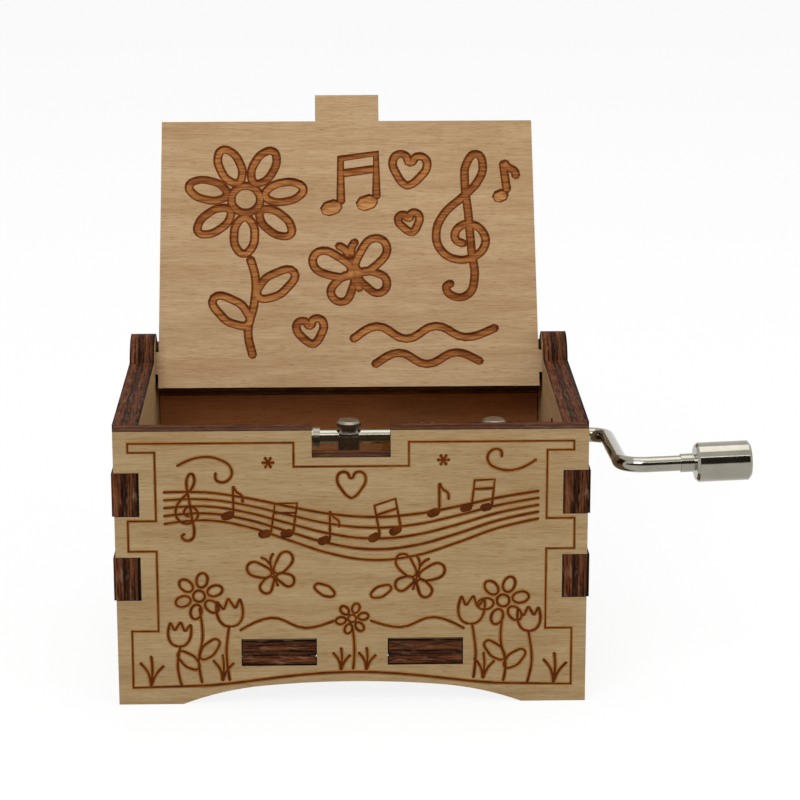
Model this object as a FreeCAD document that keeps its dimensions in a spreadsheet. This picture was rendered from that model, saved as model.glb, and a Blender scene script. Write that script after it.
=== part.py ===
"""Hand-cranked music box: a laser-cut plywood case around an 18-note cylinder movement.

Millimetres. X runs to the crank's side, Y to the back and Z up. The origin is the middle of the case's
footprint, on the plane that its feet stand on. The lid rests open, leaning back on the back panel.
"""
import FreeCAD, Part
import math
import os
import re

import Sketcher

os.makedirs("parts", exist_ok=True)
Vector = FreeCAD.Vector
doc = FreeCAD.newDocument("hand_cranked_music_box")

# ---------------------------------------------------------------- driving dimensions

SIZES = {
    # case
    "ply": 3.6,
    "box_width": 64.0,
    "box_depth": 52.0,
    "wall_height": 38.8,
    "side_proud": 0.3,
    "slot_gap": 0.15,
    "slot_low": 15.0,
    "slot_high": 26.9,
    "slot_height": 6.15,
    "finger_height": 6.0,
    "slot_inner": 28.6,
    "floor_height": 5.6,
    "tenon_near": 5.0,
    "tenon_far": 15.0,
    "side_tenon_far": 13.0,
    # arched foot line: a flat crown arc between two tighter end arcs
    "arch_rise": 3.1,
    "arch_half_span": 23.2,
    "arch_crown_half": 12.05,
    "arch_crown_radius": 138.3,
    "arch_end_radius": 41.1,
    "side_arch_half_span": 16.0,
    "side_arch_crown_half": 8.31,
    "side_arch_crown_radius": 65.9,
    "side_arch_end_radius": 20.8,
    # lid, its hinge and its stop
    "notch_half": 5.31,
    "notch_depth": 3.76,
    "hinge_y": 17.0,
    "ear_radius": 5.0,
    "peg_hole_radius": 2.6,
    "peg_width": 3.5,
    "peg_reach": 32.0,
    "lid_half_width": 28.25,
    "lid_tail": 3.9,
    "lid_reach": 39.0,
    "lid_lean": 33.0,
    "tab_half": 4.86,
    "tab_length": 4.36,
    "stop_half": 27.6,
    "stop_height": 41.8,
    # crank shaft and its two posts
    "shaft_y": -5.0,
    "shaft_z": 32.15,
    "shaft_hole_radius": 2.5,
    "rod_radius": 1.05,
    "running_gap": 0.05,
    "shaft_end_x": -5.5,
    "left_post_x": -0.2,
    "right_post_x": 20.4,
    "post_tenon_radius": 1.4,
    "post_flange_radius": 2.2,
    "post_flange_height": 0.9,
    "post_foot_radius": 2.0,
    "post_foot_height": 6.0,
    "post_radius": 1.9,
    "post_flat_half": 1.5,
    "post_top_rise": 0.3,
    "cap_radius": 1.66,
    "cap_band": 0.42,
    "cap_neck_radius": 1.3,
    "cap_neck_start": 0.75,
    "cap_neck_height": 1.3,
    "cap_button_radius": 1.73,
    "cap_button_height": 1.85,
    "cap_top_radius": 1.35,
    "cap_height": 2.15,
    # crank arm, handle and knob
    "arm_x": 36.33,
    "arm_bend": 2.33,
    "handle_x": 36.53,
    "handle_y": -25.98,
    "handle_z": 33.58,
    "handle_bend": 3.11,
    "handle_recede": 2.94,
    "handle_rise": 1.4,
    "handle_length": 16.3,
    "swage_radius": 1.25,
    "swage_start": 7.9,
    "swage_end": 9.6,
    "knob_start": 9.9,
    "knob_end": 17.35,
    "knob_radius": 2.68,
    "knob_chamfer": 0.35,
    "knob_bore_radius": 1.13,
    "knob_chamber_start": 15.2,
    "knob_chamber_end": 16.6,
    "knob_chamber_radius": 1.75,
    "ring_start": 15.35,
    "ring_end": 15.95,
    "ring_radius": 1.6,
    "collar_radius": 1.4,
    "collar_start": -5.3,
    "collar_end": -4.3,
    "clip_radius": 2.0,
    "clip_thickness": 0.6,
    "clip_left_x": 17.75,
    "clip_right_x": 22.45,
    "clip_slot": 1.4,
    # worm and wheel
    "module_axial": 0.5,
    "wheel_teeth": 33,
    "worm_pitch_radius": 1.5,
    "worm_radius": 1.95,
    "worm_root_radius": 1.2,
    "worm_length": 5.0,
    "worm_turns_each_way": 2,
    "groove_root_half": 0.283,
    "groove_mouth_half": 0.611,
    "groove_mouth_radius": 2.1,
    "wheel_width": 3.0,
    "wheel_pitch_radius": 8.25,
    "wheel_tip_radius": 8.5,
    "wheel_root_radius": 7.7,
    "tooth_root_half": 0.53,
    "tooth_root_radius": 7.55,
    "tooth_tip_half": 0.2,
    "wheel_recess_inner": 3.4,
    "wheel_recess_outer": 6.4,
    "wheel_recess_depth": 0.9,
    "wheel_hub_radius": 3.0,
    "wheel_hub_length": 1.7,
    # cylinder
    "cylinder_x": 10.1,
    "sleeve_radius": 5.6,
    "sleeve_wall": 0.6,
    "sleeve_front": -2.6,
    "sleeve_back": 16.4,
    "plug_flange_radius": 5.4,
    "plug_front_flange": 0.9,
    "plug_back_flange": 1.2,
    "plug_depth": 3.0,
    "arbor_radius": 1.0,
    "arbor_front": -11.0,
    "arbor_back": 20.4,
    "pin_count": 72,
    "pin_sides": 6,
    "pin_radius": 0.2,
    "pin_height": 0.45,
    "pin_first_y": -1.6,
    # comb
    "comb_teeth": 18,
    "tooth_pitch": 1.0,
    "comb_clearance": 0.12,
    "comb_thickness": 0.6,
    "comb_base_thickness": 1.5,
    "comb_above_axis": 0.3,
    "comb_back": -18.6,
    "comb_root": -8.6,
    "comb_front": -2.4,
    "comb_side": 0.3,
    "slit_width": 0.22,
    "slit_step": 0.29,
    "slit_bass_end": -8.3,
    "tip_length": 1.6,
    "tip_gap_half": 0.27,
    "weight_count": 8,
    "weight_width": 0.7,
    "weight_start": -1.6,
    "weight_end": 1.5,
    "weight_least": 0.7,
    "weight_step": 0.16,
    # bed
    "bed_left": -20.6,
    "bed_right": 25.2,
    "bed_front": -13.0,
    "bed_back": 20.6,
    "bed_corner": 3.0,
    "bed_thickness": 2.2,
    "seat_left": -19.6,
    "seat_right": -8.6,
    "seat_front": -3.2,
    "seat_back": 17.0,
    "seat_wall": 2.4,
    "seat_top": 3.0,
    "lug_front": -10.8,
    "lug_back": 17.8,
    "lug_thickness": 2.4,
    "lug_foot_half": 6.5,
    "lug_radius": 3.6,
    "lug_shoulder": 0.9,
    "boss_radius": 2.6,
    "boss_height": 5.8,
    # screws
    "comb_screw_x": -14.0,
    "comb_screw_low_y": 1.6,
    "comb_screw_high_y": 12.2,
    "comb_screw_radius": 1.25,
    "comb_screw_hole_radius": 1.4,
    "comb_screw_head_radius": 2.2,
    "comb_screw_head_height": 1.2,
    "comb_screw_length": 4.2,
    "bed_screw_radius": 1.2,
    "bed_screw_hole_radius": 1.3,
    "bed_screw_head_radius": 2.4,
    "bed_screw_head_height": 1.3,
    "bed_screw_length": 8.4,
}

# Places of the bed's three screws, seen from above.
BED_SCREWS = [(-16.9, -9.4), (21.6, -10.0), (21.4, 17.0)]

sheet = doc.addObject("Spreadsheet::Sheet", "Sizes")
for row, (alias, number) in enumerate(SIZES.items(), start=1):
    sheet.set(f"A{row}", alias)
    sheet.set(f"B{row}", str(number))
    sheet.setAlias(f"B{row}", alias)
doc.recompute()

# ---------------------------------------------------------------- small helpers


def bound(formula):
    """The formula with each of the sheet's aliases written as a reference to its cell."""
    return re.sub(
        r"[a-z]\w*",
        lambda word: f"Sizes.{word[0]}" if word[0] in SIZES else word[0],
        str(formula),
    )


def value(formula):
    """The number that a formula of the sheet's aliases comes to."""
    return float(sheet.evalExpression(bound(formula)))


def new_body(label):
    """An empty body whose label is the sub-part's name."""
    body = doc.addObject("PartDesign::Body", label)
    body.Label = label
    return body


def new_sketch(body, plane, offset="0"):
    """A sketch on one of the body's own origin planes, moved along the plane's normal by offset."""
    sketch = body.newObject("Sketcher::SketchObject", f"{body.Label}_sketch")
    support = next(face for face in body.Origin.OriginFeatures if face.Role == plane)
    sketch.AttachmentSupport = [(support, "")]
    sketch.MapMode = "FlatFace"
    sketch.setExpression("AttachmentOffset.Base.z", bound(offset))
    return sketch


def dimension(sketch, kind, places, formula):
    """A driving dimension of the sketch, bound to a formula."""
    index = sketch.addConstraint(Sketcher.Constraint(kind, *places, value(formula)))
    sketch.setExpression(f"Constraints[{index}]", bound(formula))


def place_point(sketch, edge, end, x, y):
    """Dimensions one point of the sketch from its origin."""
    dimension(sketch, "DistanceX", (-1, 1, edge, end), x)
    dimension(sketch, "DistanceY", (-1, 1, edge, end), y)


def arc_edge(start, finish, radius):
    """The arc from start to finish that turns left for a positive radius and right for a negative one."""
    chord = finish - start
    turn = math.copysign(1.0, radius)
    lift = math.sqrt(radius**2 - chord.Length**2 / 4)
    side = Vector(-chord.y, chord.x, 0).normalize() * (turn * lift)
    centre = (start + finish) / 2 + side
    first, last = (start, finish) if turn > 0 else (finish, start)
    angles = [math.atan2(point.y - centre.y, point.x - centre.x) for point in (first, last)]
    return Part.ArcOfCircle(Part.Circle(centre, Vector(0, 0, 1), abs(radius)), *angles)


def outline(sketch, corners):
    """A closed outline. A corner is (x, y), or (x, y, radius) where the edge that leads to it is an arc."""
    points = [Vector(value(corner[0]), value(corner[1]), 0) for corner in corners]
    ends = []
    for number, corner in enumerate(corners):
        start, finish = points[number - 1], points[number]
        if len(corner) == 2:
            ends.append((sketch.addGeometry(Part.LineSegment(start, finish)), 1, 2))
            continue
        radius = value(corner[2])
        edge = sketch.addGeometry(arc_edge(start, finish, radius))
        ends.append((edge, 1, 2) if radius > 0 else (edge, 2, 1))
        sign = "" if radius > 0 else "-"
        dimension(sketch, "Radius", (edge,), f"{sign}({corner[2]})")
    for number, corner in enumerate(corners):
        edge, _, end = ends[number]
        after, begin, _ = ends[(number + 1) % len(ends)]
        sketch.addConstraint(Sketcher.Constraint("Coincident", edge, end, after, begin))
        place_point(sketch, edge, end, corner[0], corner[1])


def circle(sketch, x, y, radius):
    """A full circle of the sketch."""
    ring = Part.Circle(Vector(value(x), value(y), 0), Vector(0, 0, 1), value(radius))
    edge = sketch.addGeometry(ring)
    place_point(sketch, edge, 3, x, y)
    dimension(sketch, "Radius", (edge,), radius)


def rectangle(sketch, left, right, low, high):
    """A rectangle with its sides along the sketch's axes."""
    outline(sketch, [(left, low), (right, low), (right, high), (left, high)])


def pad(body, sketch, length, reverse=False):
    """Extrudes the sketch by length along its plane's normal, or against it."""
    feature = body.newObject("PartDesign::Pad", f"{body.Label}_pad")
    feature.Profile = sketch
    feature.setExpression("Length", bound(length))
    feature.Reversed = reverse
    return feature


def pocket(body, sketch, length, reverse=False):
    """Cuts the sketch out of the body by length against its plane's normal, or along it."""
    feature = body.newObject("PartDesign::Pocket", f"{body.Label}_pocket")
    feature.Profile = sketch
    feature.setExpression("Length", bound(length))
    feature.Reversed = reverse
    return feature


def turned(label, profile):
    """A body of revolution about its own Z axis; the profile's corners are (radius, height)."""
    body = new_body(label)
    sketch = new_sketch(body, "XZ_Plane")
    outline(sketch, profile)
    feature = body.newObject("PartDesign::Revolution", f"{label}_turning")
    feature.Profile = sketch
    feature.ReferenceAxis = (sketch, ["V_Axis"])
    feature.Angle = 360
    return body


def tube_profile(inner, outer, low, high):
    """Profile of a plain ring for turned()."""
    return [(inner, low), (outer, low), (outer, high), (inner, high)]


def place(item, x, y, z, axis=Vector(0, 0, 1), angle="0"):
    """Places a sub-part: its origin at x, y, z and turned by angle about axis."""
    item.Placement = FreeCAD.Placement(Vector(), FreeCAD.Rotation(axis, 1))
    item.setExpression("Placement.Rotation.Angle", bound(angle))
    for letter, formula in zip("xyz", (x, y, z)):
        item.setExpression(f"Placement.Base.{letter}", bound(formula))


def place_along_x(item, x, y, z):
    """Places a sub-part so that its own Z axis runs along X."""
    place(item, x, y, z, Vector(0, 1, 0), "90")


def place_along_y(item, x, y, z):
    """Places a sub-part so that its own Z axis runs along Y."""
    place(item, x, y, z, Vector(-1, 0, 0), "90")


def mirrored(corners, x_sign, y_sign):
    """Straight corners mirrored across one or both axes, in the order that keeps the outline's sense."""
    turned_over = [(f"{x_sign}({x})", f"{y_sign}({y})") for x, y in corners]
    return turned_over if x_sign == y_sign else turned_over[::-1]


# ---------------------------------------------------------------- case

FLOOR_TOP = "(floor_height + ply)"
INNER_DEPTH = "(box_depth / 2 - ply)"
SIDE_OUTER = "(box_width / 2 + side_proud)"
HINGE_Z = "(wall_height - ply / 2)"


def arch(half_span, crown_half, crown_radius, end_radius):
    """The arched foot line between two feet: three arcs that curve up into the panel."""
    crown_end = f"arch_rise - {crown_radius} + sqrt({crown_radius}^2 - {crown_half}^2)"
    return [
        (f"-{half_span}", "0"),
        (f"-{crown_half}", crown_end, f"-{end_radius}"),
        (crown_half, crown_end, f"-{crown_radius}"),
        (half_span, "0", f"-{end_radius}"),
    ]


def wall(label, top_middle):
    """A front or back panel, drawn in the XZ plane: slots at the ends for the side panels' fingers and
    two more for the floor's tenons. top_middle is the right half of the top edge's step."""
    right_side = [("box_width / 2", "0")]
    for low in ("slot_low", "slot_high"):
        right_side += [
            ("box_width / 2", low),
            ("slot_inner", low),
            ("slot_inner", f"{low} + slot_height"),
            ("box_width / 2", f"{low} + slot_height"),
        ]
    right_side += [("box_width / 2", "wall_height")] + top_middle
    body = new_body(label)
    sketch = new_sketch(body, "XZ_Plane")
    foot_line = arch("arch_half_span", "arch_crown_half", "arch_crown_radius", "arch_end_radius")
    outline(sketch, foot_line + right_side + mirrored(right_side, "-", ""))
    low, high = "floor_height - slot_gap", "floor_height + ply + slot_gap"
    near, far = "(tenon_near - slot_gap)", "(tenon_far + slot_gap)"
    rectangle(sketch, near, far, low, high)
    rectangle(sketch, f"-{far}", f"-{near}", low, high)
    pad(body, sketch, "ply")
    return body


front_panel = wall(
    "front_panel",
    [("notch_half", "wall_height"), ("notch_half", "wall_height - notch_depth")],
)
place(front_panel, "0", f"-{INNER_DEPTH}", "0")

back_panel = wall("back_panel", [("stop_half", "wall_height"), ("stop_half", "stop_height")])
place(back_panel, "0", "box_depth / 2", "0")


def side_wall(label, with_shaft_hole):
    """A side panel, drawn in the YZ plane: fingers at both ends, a round ear about the lid's hinge and
    slots for the floor's side tenons."""
    ear_foot = "sqrt(ear_radius^2 - (ply / 2)^2)"
    ends = []
    for low in ("slot_low", "slot_high"):
        finger_low = f"{low} + (slot_height - finger_height) / 2"
        ends += [
            (INNER_DEPTH, finger_low),
            ("box_depth / 2", finger_low),
            ("box_depth / 2", f"{finger_low} + finger_height"),
            (INNER_DEPTH, f"{finger_low} + finger_height"),
        ]
    rear = [(INNER_DEPTH, "0")] + ends + [(INNER_DEPTH, "wall_height")]
    ear = [
        (f"hinge_y + {ear_foot}", "wall_height"),
        (f"hinge_y - {ear_foot}", "wall_height", "ear_radius"),
    ]
    foot_line = arch(
        "side_arch_half_span",
        "side_arch_crown_half",
        "side_arch_crown_radius",
        "side_arch_end_radius",
    )
    body = new_body(label)
    sketch = new_sketch(body, "YZ_Plane")
    outline(sketch, foot_line + rear + ear + mirrored(rear, "-", ""))
    low, high = "floor_height - slot_gap", "floor_height + ply + slot_gap"
    near, far = "(tenon_near - slot_gap)", "(side_tenon_far + slot_gap)"
    rectangle(sketch, near, far, low, high)
    rectangle(sketch, f"-{far}", f"-{near}", low, high)
    circle(sketch, "hinge_y", HINGE_Z, "peg_hole_radius")
    if with_shaft_hole:
        circle(sketch, "shaft_y", "shaft_z", "shaft_hole_radius")
    pad(body, sketch, "ply")
    return body


left_side_panel = side_wall("left_side_panel", with_shaft_hole=False)
place(left_side_panel, f"-{SIDE_OUTER}", "0", "0")

right_side_panel = side_wall("right_side_panel", with_shaft_hole=True)
place(right_side_panel, f"{SIDE_OUTER} - ply", "0", "0")

# The floor: two tenons into each wall, worked out for one quarter and mirrored.
floor_edge_x = f"({SIDE_OUTER} - ply - slot_gap)"
floor_edge_y = f"({INNER_DEPTH} - slot_gap)"
floor_quarter = [
    (floor_edge_x, "tenon_near"),
    (SIDE_OUTER, "tenon_near"),
    (SIDE_OUTER, "side_tenon_far"),
    (floor_edge_x, "side_tenon_far"),
    (floor_edge_x, floor_edge_y),
    ("tenon_far", floor_edge_y),
    ("tenon_far", "box_depth / 2"),
    ("tenon_near", "box_depth / 2"),
    ("tenon_near", floor_edge_y),
]
bottom_panel = new_body("bottom_panel")
floor_sketch = new_sketch(bottom_panel, "XY_Plane")
floor_outline = []
for x_sign, y_sign in (("", ""), ("-", ""), ("-", "-"), ("", "-")):
    floor_outline += mirrored(floor_quarter, x_sign, y_sign)
outline(floor_sketch, floor_outline)
for screw_x, screw_y in BED_SCREWS:
    circle(floor_sketch, screw_x, screw_y, "bed_screw_hole_radius")
pad(bottom_panel, floor_sketch, "ply")
place(bottom_panel, "0", "0", "floor_height")

# The lid, drawn about its hinge line with the tab along +Y, then turned up until it leans back.
lid = new_body("lid")
lid_sketch = new_sketch(lid, "XY_Plane", "-ply / 2")
lid_right = [
    ("lid_half_width", "-lid_tail"),
    ("lid_half_width", "-peg_width / 2"),
    ("peg_reach", "-peg_width / 2"),
    ("peg_reach", "peg_width / 2"),
    ("lid_half_width", "peg_width / 2"),
    ("lid_half_width", "lid_reach"),
    ("tab_half", "lid_reach"),
    ("tab_half", "lid_reach + tab_length"),
]
outline(lid_sketch, lid_right + mirrored(lid_right, "-", ""))
pad(lid, lid_sketch, "ply")
place(lid, "0", "hinge_y", HINGE_Z, Vector(1, 0, 0), "90 - lid_lean")

# ---------------------------------------------------------------- bed of the movement

CYLINDER_Z = "(shaft_z - worm_pitch_radius - wheel_pitch_radius)"
COMB_TOP_Z = f"({CYLINDER_Z} + comb_above_axis)"
SEAT_Z = f"({COMB_TOP_Z} - comb_base_thickness)"
BED_TOP = f"({FLOOR_TOP} + bed_thickness)"
SEAT_RISE = f"({SEAT_Z} - {FLOOR_TOP})"
AXIS_RISE = f"({CYLINDER_Z} - {FLOOR_TOP})"


def lug(body, front):
    """An upright lug across the bed that carries one end of the cylinder's arbor."""
    sketch = new_sketch(body, "XZ_Plane", f"-({front})")
    shoulder = "sqrt(lug_radius^2 - lug_shoulder^2)"
    corners = [
        ("cylinder_x - lug_foot_half", "0"),
        ("cylinder_x + lug_foot_half", "0"),
        (f"cylinder_x + {shoulder}", f"{AXIS_RISE} + lug_shoulder"),
        (f"cylinder_x - {shoulder}", f"{AXIS_RISE} + lug_shoulder", "lug_radius"),
    ]
    outline(sketch, corners)
    circle(sketch, "cylinder_x", AXIS_RISE, "arbor_radius + running_gap")
    pad(body, sketch, "lug_thickness", reverse=True)


movement_bed = new_body("movement_bed")
plate_sketch = new_sketch(movement_bed, "XY_Plane")
outline(
    plate_sketch,
    [
        ("bed_left + bed_corner", "bed_front", "bed_corner"),
        ("bed_right - bed_corner", "bed_front"),
        ("bed_right", "bed_front + bed_corner", "bed_corner"),
        ("bed_right", "bed_back - bed_corner"),
        ("bed_right - bed_corner", "bed_back", "bed_corner"),
        ("bed_left + bed_corner", "bed_back"),
        ("bed_left", "bed_back - bed_corner", "bed_corner"),
        ("bed_left", "bed_front + bed_corner"),
    ],
)
pad(movement_bed, plate_sketch, "bed_thickness")
seat_sketch = new_sketch(movement_bed, "XY_Plane")
rectangle(seat_sketch, "seat_left", "seat_right", "seat_front", "seat_back")
pad(movement_bed, seat_sketch, SEAT_RISE)
boss_sketch = new_sketch(movement_bed, "XY_Plane")
for screw_x, screw_y in BED_SCREWS:
    circle(boss_sketch, screw_x, screw_y, "boss_radius")
pad(movement_bed, boss_sketch, "boss_height")
lug(movement_bed, "lug_front")
lug(movement_bed, "lug_back")
core_sketch = new_sketch(movement_bed, "XY_Plane")
rectangle(
    core_sketch,
    "seat_left + seat_wall",
    "seat_right - seat_wall",
    "seat_front + seat_wall",
    "seat_back - seat_wall",
)
pocket(movement_bed, core_sketch, f"{SEAT_RISE} - seat_top", reverse=True)
screw_hole_sketch = new_sketch(movement_bed, "XY_Plane")
for screw_x, screw_y in BED_SCREWS:
    circle(screw_hole_sketch, screw_x, screw_y, "bed_screw_radius")
pocket(movement_bed, screw_hole_sketch, "bed_screw_length - ply + 0.2", reverse=True)
post_hole_sketch = new_sketch(movement_bed, "XY_Plane")
for post_x in ("left_post_x", "right_post_x"):
    circle(post_hole_sketch, post_x, "shaft_y", "post_tenon_radius")
pocket(movement_bed, post_hole_sketch, "bed_thickness", reverse=True)
comb_hole_sketch = new_sketch(movement_bed, "XY_Plane", SEAT_RISE)
for screw_y in ("comb_screw_low_y", "comb_screw_high_y"):
    circle(comb_hole_sketch, "comb_screw_x", screw_y, "comb_screw_radius")
pocket(movement_bed, comb_hole_sketch, "seat_top")
place(movement_bed, "0", "0", FLOOR_TOP)

# ---------------------------------------------------------------- posts and caps that hold the shaft

SHAFT_RISE = f"(shaft_z - {BED_TOP})"
POST_TOP = f"({SHAFT_RISE} + post_top_rise)"


def shaft_post(label, x):
    """A turned post riveted into the bed, with flats on both sides and a U-shaped seat for the shaft
    across its top."""
    body = turned(
        label,
        [
            ("0", "-bed_thickness"),
            ("post_tenon_radius", "-bed_thickness"),
            ("post_tenon_radius", "0"),
            ("post_flange_radius", "0"),
            ("post_flange_radius", "post_flange_height"),
            ("post_foot_radius", "post_flange_height"),
            ("post_foot_radius", "post_foot_height"),
            ("post_radius", "post_foot_height"),
            ("post_radius", POST_TOP),
            ("0", POST_TOP),
        ],
    )
    flats = new_sketch(body, "XY_Plane", "post_foot_height")
    for inner, outer in (("post_flat_half", "2 * post_radius"), ("-2 * post_radius", "-post_flat_half")):
        rectangle(flats, inner, outer, "-2 * post_radius", "2 * post_radius")
    pocket(body, flats, f"{POST_TOP} - post_foot_height", reverse=True)
    seat = new_sketch(body, "YZ_Plane", "-post_foot_radius")
    radius = "(rod_radius + running_gap)"
    outline(
        seat,
        [
            (radius, f"{SHAFT_RISE} + 1"),
            (f"-{radius}", f"{SHAFT_RISE} + 1"),
            (f"-{radius}", SHAFT_RISE),
            ("0", f"{SHAFT_RISE} - {radius}", radius),
            (radius, SHAFT_RISE, radius),
        ],
    )
    pocket(body, seat, "2 * post_foot_radius", reverse=True)
    place(body, x, "shaft_y", BED_TOP)
    return body


def post_cap(label, x):
    """A cap on a post, a ring, a neck and a button, which closes the shaft's bearing from above."""
    body = turned(
        label,
        [
            ("0", "0"),
            ("cap_radius", "0"),
            ("cap_radius", "cap_band"),
            ("cap_neck_radius", "cap_neck_start"),
            ("cap_neck_radius", "cap_neck_height"),
            ("cap_button_radius", "cap_neck_height"),
            ("cap_button_radius", "cap_button_height"),
            ("cap_top_radius", "cap_height"),
            ("0", "cap_height"),
        ],
    )
    bearing = new_sketch(body, "YZ_Plane", "-cap_radius")
    circle(bearing, "0", "-post_top_rise", "rod_radius + running_gap")
    pocket(body, bearing, "2 * cap_radius", reverse=True)
    place(body, x, "shaft_y", "shaft_z + post_top_rise")
    return body


left_shaft_post = shaft_post("left_shaft_post", "left_post_x")
right_shaft_post = shaft_post("right_shaft_post", "right_post_x")
left_post_cap = post_cap("left_post_cap", "left_post_x")
right_post_cap = post_cap("right_post_cap", "right_post_x")

# ---------------------------------------------------------------- crank


def handle_direction():
    """Unit vector along the handle, which the bends leave a little off the shaft's direction."""
    recede = math.radians(value("handle_recede"))
    rise = math.radians(value("handle_rise"))
    return Vector(
        math.cos(recede) * math.cos(rise), math.sin(recede) * math.cos(rise), math.sin(rise)
    )


def bend(before, corner, after, radius):
    """The arc of the rod's centre line round a corner of its path."""
    back = (before - corner).normalize()
    ahead = (after - corner).normalize()
    half = back.getAngle(ahead) / 2
    start = corner + back * (radius / math.tan(half))
    finish = corner + ahead * (radius / math.tan(half))
    middle_line = (back + ahead).normalize()
    middle = corner + middle_line * (radius / math.sin(half) - radius)
    return Part.Arc(start, middle, finish)


shaft_end = Vector(value("shaft_end_x"), value("shaft_y"), value("shaft_z"))
arm_corner = Vector(value("arm_x"), value("shaft_y"), value("shaft_z"))
handle_corner = Vector(value("handle_x"), value("handle_y"), value("handle_z"))
handle_end = handle_corner + handle_direction() * value("handle_length")
arm_arc = bend(shaft_end, arm_corner, handle_corner, value("arm_bend"))
handle_arc = bend(arm_corner, handle_corner, handle_end, value("handle_bend"))
crank_line = [
    Part.LineSegment(shaft_end, arm_arc.StartPoint),
    arm_arc,
    Part.LineSegment(arm_arc.EndPoint, handle_arc.StartPoint),
    handle_arc,
    Part.LineSegment(handle_arc.EndPoint, handle_end),
]

crank_path = doc.addObject("Part::Feature", "crank_path")
crank_path.Shape = Part.Wire([piece.toShape() for piece in crank_line])
rod_section = doc.addObject("Part::Circle", "rod_section")
rod_section.setExpression("Radius", bound("rod_radius"))
place_along_x(rod_section, "shaft_end_x", "shaft_y", "shaft_z")
rod_sweep = doc.addObject("Part::Sweep", "rod_sweep")
rod_sweep.Sections = [rod_section]
rod_sweep.Spine = (crank_path, [])
rod_sweep.Solid = True
rod_sweep.Frenet = False

handle_turn = FreeCAD.Rotation(Vector(0, 0, 1), handle_direction())
handle_frame = FreeCAD.Placement(handle_corner, handle_turn)

# The swage: the pinched, slightly thicker stretch that keeps the knob from sliding inwards.
swage = doc.addObject("Part::Cylinder", "rod_swage")
swage.setExpression("Radius", bound("swage_radius"))
swage.setExpression("Height", bound("swage_end - swage_start"))
swage.Placement = FreeCAD.Placement(
    handle_corner + handle_direction() * value("swage_start"), handle_turn
)
crank_rod = doc.addObject("Part::Fuse", "crank_rod")
crank_rod.Base = rod_sweep
crank_rod.Tool = swage

crank_knob = turned(
    "crank_knob",
    [
        ("knob_bore_radius", "knob_start"),
        ("knob_radius - knob_chamfer", "knob_start"),
        ("knob_radius", "knob_start + knob_chamfer"),
        ("knob_radius", "knob_end - knob_chamfer"),
        ("knob_radius - knob_chamfer", "knob_end"),
        ("0", "knob_end"),
        ("0", "knob_chamber_end"),
        ("knob_chamber_radius", "knob_chamber_end"),
        ("knob_chamber_radius", "knob_chamber_start"),
        ("knob_bore_radius", "knob_chamber_start"),
    ],
)
crank_knob.Placement = handle_frame

knob_retaining_ring = turned(
    "knob_retaining_ring", tube_profile("rod_radius", "ring_radius", "ring_start", "ring_end")
)
knob_retaining_ring.Placement = handle_frame

shaft_collar = turned(
    "shaft_collar", tube_profile("rod_radius", "collar_radius", "collar_start", "collar_end")
)
place_along_x(shaft_collar, "0", "shaft_y", "shaft_z")


def shaft_clip(label, x):
    """A spring clip on the shaft: a flat ring, open on one side."""
    body = turned(label, tube_profile("rod_radius", "clip_radius", "0", "clip_thickness"))
    slot = new_sketch(body, "XY_Plane")
    rectangle(slot, "-clip_radius - 1", "0", "-clip_slot / 2", "clip_slot / 2")
    pocket(body, slot, "clip_thickness", reverse=True)
    place_along_x(body, x, "shaft_y", "shaft_z")
    return body


shaft_clips = doc.addObject("Part::Compound", "shaft_clips")
shaft_clips.Links = [
    shaft_clip("left_shaft_clip", "clip_left_x"),
    shaft_clip("right_shaft_clip", "clip_right_x"),
]

# ---------------------------------------------------------------- worm and worm wheel

AXIAL_PITCH = "(pi * module_axial)"
# At the cylinder's side of the worm its thread leans back by this much for each millimetre of width.
LEAD_SLOPE = f"({AXIAL_PITCH} / (2 * pi * worm_pitch_radius))"

worm = turned(
    "worm",
    tube_profile("rod_radius", "worm_radius", "-worm_length / 2", "worm_length / 2"),
)
groove_sketch = new_sketch(worm, "XZ_Plane")
groove_start = f"(-worm_turns_each_way * {AXIAL_PITCH})"
outline(
    groove_sketch,
    [
        ("worm_root_radius", f"{groove_start} - groove_root_half"),
        ("groove_mouth_radius", f"{groove_start} - groove_mouth_half"),
        ("groove_mouth_radius", f"{groove_start} + groove_mouth_half"),
        ("worm_root_radius", f"{groove_start} + groove_root_half"),
    ],
)
worm_groove = worm.newObject("PartDesign::SubtractiveHelix", "worm_groove")
worm_groove.Profile = groove_sketch
worm_groove.ReferenceAxis = (groove_sketch, ["V_Axis"])
worm_groove.Mode = "pitch-height-angle"
worm_groove.setExpression("Pitch", bound(AXIAL_PITCH))
worm_groove.setExpression("Height", bound(f"2 * worm_turns_each_way * {AXIAL_PITCH}"))
worm_groove.LeftHanded = False
worm_groove.Reversed = False
place_along_x(worm, "cylinder_x", "shaft_y", "shaft_z")

worm_wheel = new_body("worm_wheel")
disc_sketch = new_sketch(worm_wheel, "XY_Plane", "-wheel_width / 2")
circle(disc_sketch, "0", "0", "wheel_root_radius")
pad(worm_wheel, disc_sketch, "wheel_width")
hub_sketch = new_sketch(worm_wheel, "XY_Plane", "-wheel_width / 2")
circle(hub_sketch, "0", "0", "wheel_hub_radius")
pad(worm_wheel, hub_sketch, "wheel_hub_length", reverse=True)
recess_sketch = new_sketch(worm_wheel, "XY_Plane", "-wheel_width / 2")
circle(recess_sketch, "0", "0", "wheel_recess_inner")
circle(recess_sketch, "0", "0", "wheel_recess_outer")
pocket(worm_wheel, recess_sketch, "wheel_recess_depth", reverse=True)
bore_sketch = new_sketch(worm_wheel, "XY_Plane", "-wheel_width / 2 - wheel_hub_length")
circle(bore_sketch, "0", "0", "arbor_radius")
pocket(worm_wheel, bore_sketch, "wheel_width + wheel_hub_length", reverse=True)


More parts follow.
